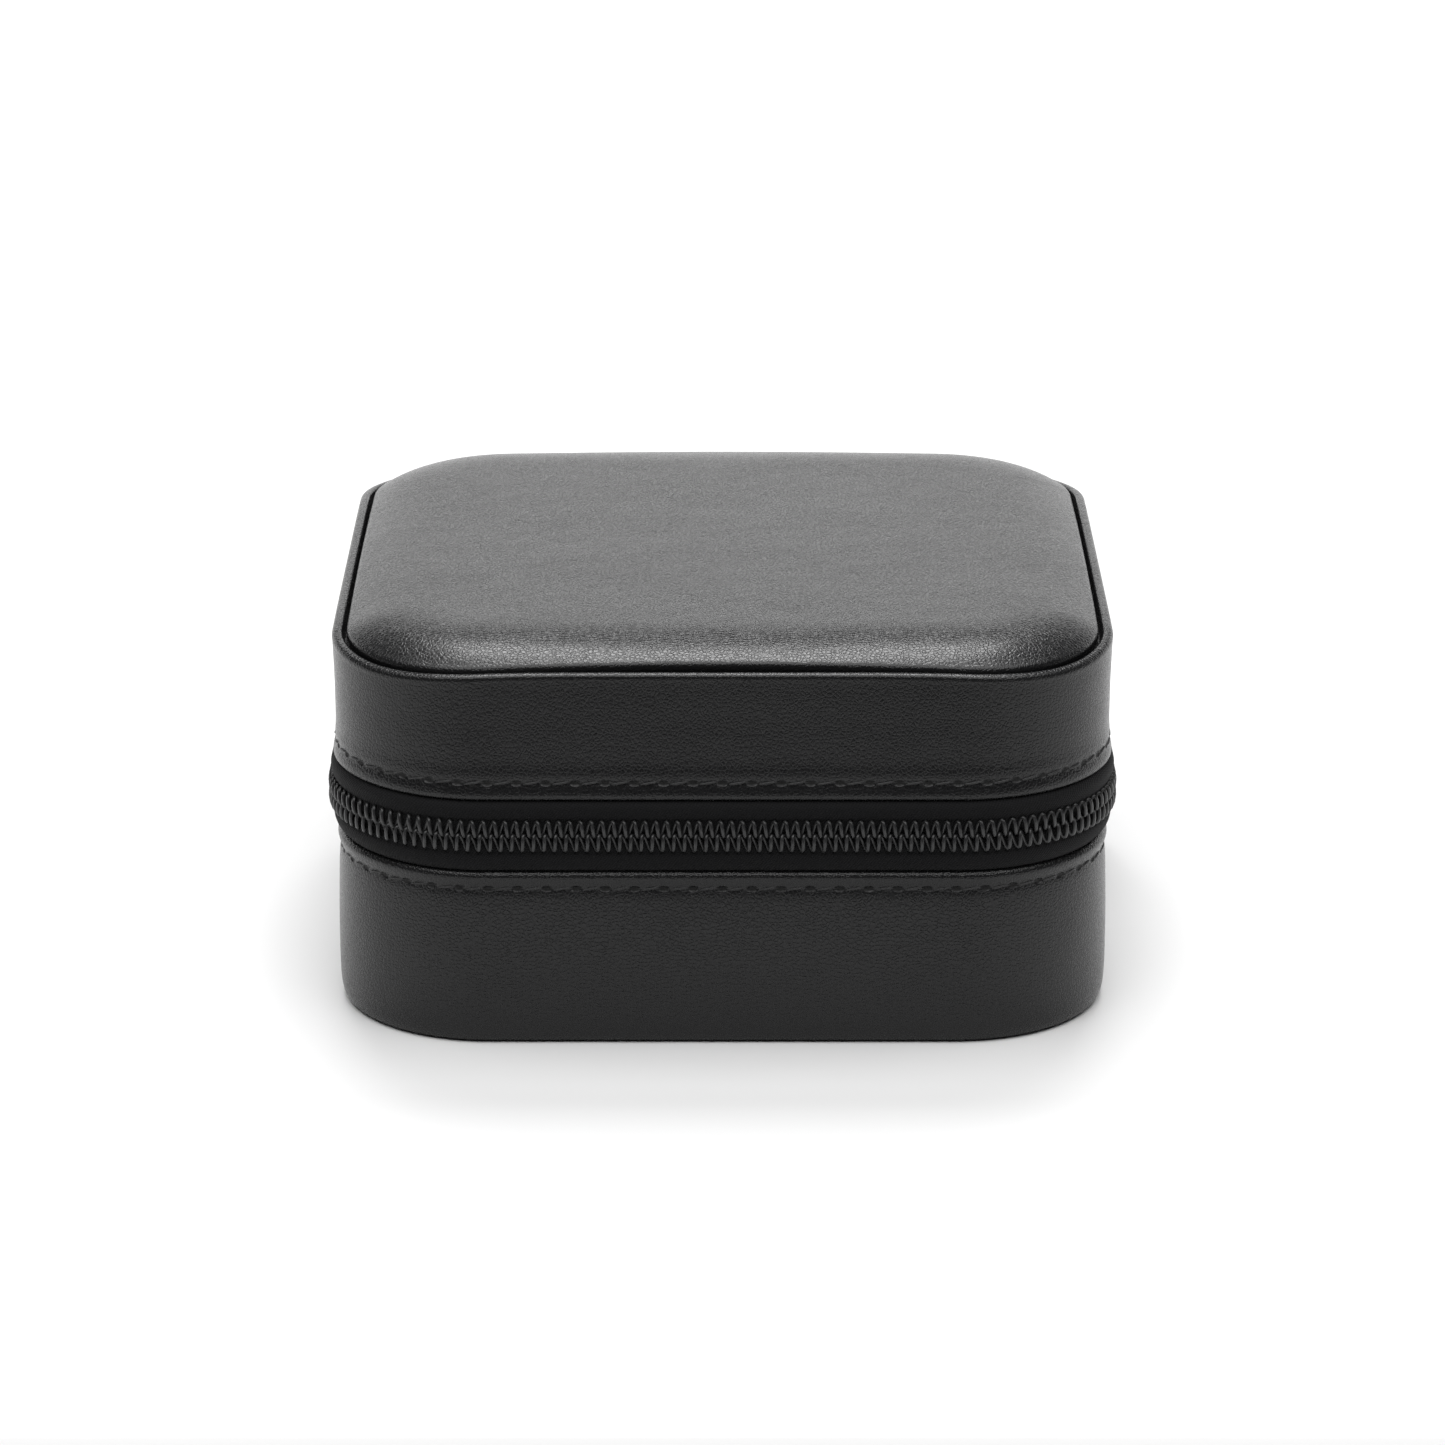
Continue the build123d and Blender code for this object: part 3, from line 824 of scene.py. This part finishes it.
def ring_roll(name, node, seed):
    """A rounded section carried along the roll: it shrinks over each end by a quarter circle, folds ripple
    it near the ends, and slow waves along it make the foam uneven."""
    low, high = (np.array(corner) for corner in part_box(node))
    middle, size = (low + high) / 2, (high - low) / 2
    section = rounded_rectangle(size[1], size[2], ROLL_ROUND, 12)
    x = (high[0] - low[0]) / 2 * np.sin(np.linspace(-math.pi / 2, math.pi / 2, ROLL_STATIONS))
    from_end = (size[0] - np.abs(x)) / ROLL_END
    shrink = 0.62 + 0.38 * np.sqrt(1 - (1 - np.clip(from_end, 0, 1)) ** 2)
    around = np.arctan2(section[:, 1], section[:, 0])
    fold = ROLL_GATHER * np.exp(-from_end / 1.5)[:, None] * np.sin(GATHER_FOLDS * around + seed)
    wave = ROLL_SAG * (np.sin(x / (9.0 * MM) + 2.1 * seed) + np.sin(x / (5.3 * MM) + 1.3 * seed)) / 2
    lift = np.clip(np.sin(around), 0, 1) * (wave - ROLL_SAG)[:, None]
    outwards = section / np.linalg.norm(section, axis=1, keepdims=True)
    flat = section * shrink[:, None, None] + outwards * (fold - ROLL_GATHER)[:, :, None]
    loops = np.empty((ROLL_STATIONS, len(section), 3))
    loops[:, :, 0] = middle[0] + x[:, None]
    loops[:, :, 1] = middle[1] + flat[:, :, 0]
    loops[:, :, 2] = middle[2] + flat[:, :, 1] + lift
    roll = fit_out(lofted(name, loops), velvet, "base", "velvet_lining", node)


for number in range(ROLL_COUNT):
    node = f"ring_roll_{number + 1}"
    ring_roll(f"{node}_velvet", node, number)

# ---------------------------------------------------------------------------------------------------------
# Mirror. A silvered glass held against the lid's ceiling by a padded velvet frame.
# ---------------------------------------------------------------------------------------------------------
FRAME_LIP = 0.7 * MM
FRAME_LIP_CORNER = 7.4 * MM
frame_low, frame_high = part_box("mirror_frame")
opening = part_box("mirror_glass")[1].x - FRAME_LIP
frame_wide = frame_high.x - opening
lip_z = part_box("mirror_glass")[0].z


def mirror_frame():
    """A closed section of (share of the width, height) carried round the opening: each point of it is a
    rounded rectangle grown outwards by that share, with its corners grown by as much."""
    section = rounded([
        (0.0, lip_z), (0.03, lip_z - 0.4 * MM), (0.15, frame_low.z), (0.5, frame_low.z - 0.1 * MM),
        (0.85, frame_low.z), (0.98, frame_low.z + 0.5 * MM), (1.0, frame_high.z), (0.6, frame_high.z),
        (0.15, frame_high.z), (0.12, lip_z + 0.1 * MM),
    ], passes=2)
    loops = []
    for share, z in section:
        half = opening + share * frame_wide
        loop = rounded_rectangle(half, half, FRAME_LIP_CORNER + share * frame_wide, 16)
        loops.append(np.column_stack([loop, np.full(len(loop), z)]))
    return lofted("mirror_frame_velvet", np.array(loops), closed=True)


def mirror_finish():
    """Silvered glass, with the faintest unevenness."""
    silver = Finish("silvered_glass", metallic=1.0, specular_ior_level=0.5)
    haze = silver.noise(silver.coordinates(), 40.0)
    silver.set(base_color=silver.spread(haze, (0.86, 0.88, 0.88), (0.9, 0.92, 0.92)), roughness=haze * 0.02)
    return silver.material


fit_out(mirror_frame(), velvet, "lid", "velvet_lining", "mirror_frame")
mirror_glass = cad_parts["mirror_glass"]
mirror_glass.material_slots[0].material = mirror_finish()

# ---------------------------------------------------------------------------------------------------------
# Slider and pull. The slider and its link are blackened metal; the tab is a doubled strip of hide, sewn
# all round.
# ---------------------------------------------------------------------------------------------------------
TAB_CORNER = 1.5 * MM
TAB_SEAM = 1.0 * MM
TAB_PITCH = 1.9 * MM
TAB_STITCH = 1.3 * MM
TAB_THREAD = 0.13 * MM
TAB_EDGE = 0.35 * MM


def metal_finish():
    """Black plated zinc: glossy, clouded and finely scratched."""
    metal = Finish("black_plate", metallic=1.0, coat_roughness=0.1)
    place = metal.coordinates()
    cloud = metal.noise(place, 300.0, 3.0)
    scratch = metal.noise(place, 2400.0, 4.0)
    colour = metal.spread(cloud, (0.030, 0.030, 0.032), (0.055, 0.055, 0.058))
    metal.set(base_color=colour, roughness=0.24 + scratch * 0.2, normal=metal.bump(scratch, 0.01 * MM, 0.5))
    return metal.material


black_plate = metal_finish()
for node in ("slider_body", "pull_link"):
    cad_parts[node].material_slots[0].material = black_plate

tab_low, tab_high = (np.array(corner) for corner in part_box("pull_tab"))
tab_middle, tab_size = (tab_low + tab_high) / 2, (tab_high - tab_low) / 2


def tab_loop(inset):
    """The tab's outline, moved inwards, as (y, z)."""
    loop = rounded_rectangle(tab_size[1] - inset, tab_size[2] - inset, TAB_CORNER - inset * 0.8, 8)
    return loop + tab_middle[1:]


def pull_tab():
    """Outlines stacked through the tab's thickness, each drawn in by the edge's quarter circle."""
    turn = np.linspace(-math.pi / 2, math.pi / 2, 9)
    loops = []
    for inset, x in zip(TAB_EDGE * (1 - np.cos(turn)), tab_size[0] * np.sin(turn)):
        loop = tab_loop(inset)
        loops.append(np.column_stack([np.full(len(loop), tab_middle[0] + x), loop]))
    return lofted("pull_tab_hide", np.array(loops))


fit_out(pull_tab(), leather("tab_hide"), "pull", "black_leather", "pull_tab")
seam = tab_loop(TAB_SEAM)
seam = np.vstack([seam, seam[:1]])
seam_s = np.concatenate([[0], np.cumsum(np.linalg.norm(np.diff(seam, axis=0), axis=1))])
tab_count = round(seam_s[-1] / TAB_PITCH)


def tab_seam(face):
    """Where the tab's stitches lie: on the outline's inner copy, on the face at x = face."""
    def where(s, out, up):
        s = np.mod(s, seam_s[-1])
        y, z = np.interp(s, seam_s, seam[:, 0]), np.interp(s, seam_s, seam[:, 1])
        ahead = np.mod(s + 0.1 * MM, seam_s[-1])
        along_y = np.interp(ahead, seam_s, seam[:, 0]) - y
        along_z = np.interp(ahead, seam_s, seam[:, 1]) - z
        size = np.hypot(along_y, along_z)
        return np.stack([face + out, y - up * along_z / size, z + up * along_y / size], -1)
    return where


tab_stitches = stitches("tab_stitches", tab_count, seam_s[-1] / tab_count, tab_seam(tab_high[0]), TAB_STITCH,
                        TAB_THREAD, 0.0)
tab_stitches.data.materials.append(black_thread)
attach(tab_stitches, "pull")

# ---------------------------------------------------------------------------------------------------------
# Greyboard. The stiff boards inside the walls, floor and lid.
# ---------------------------------------------------------------------------------------------------------
grey = Finish("greyboard", roughness=0.9)
fibre = grey.noise(grey.coordinates(), 1500.0, 4.0)
grey_colour = grey.spread(fibre, (0.20, 0.19, 0.18), (0.32, 0.31, 0.29))
grey.set(base_color=grey_colour, normal=grey.bump(fibre, 0.05 * MM))
for node in ("base_floor_board", "base_wall_board", "lid_wall_board", "lid_top_board"):
    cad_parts[node].material_slots[0].material = grey.material
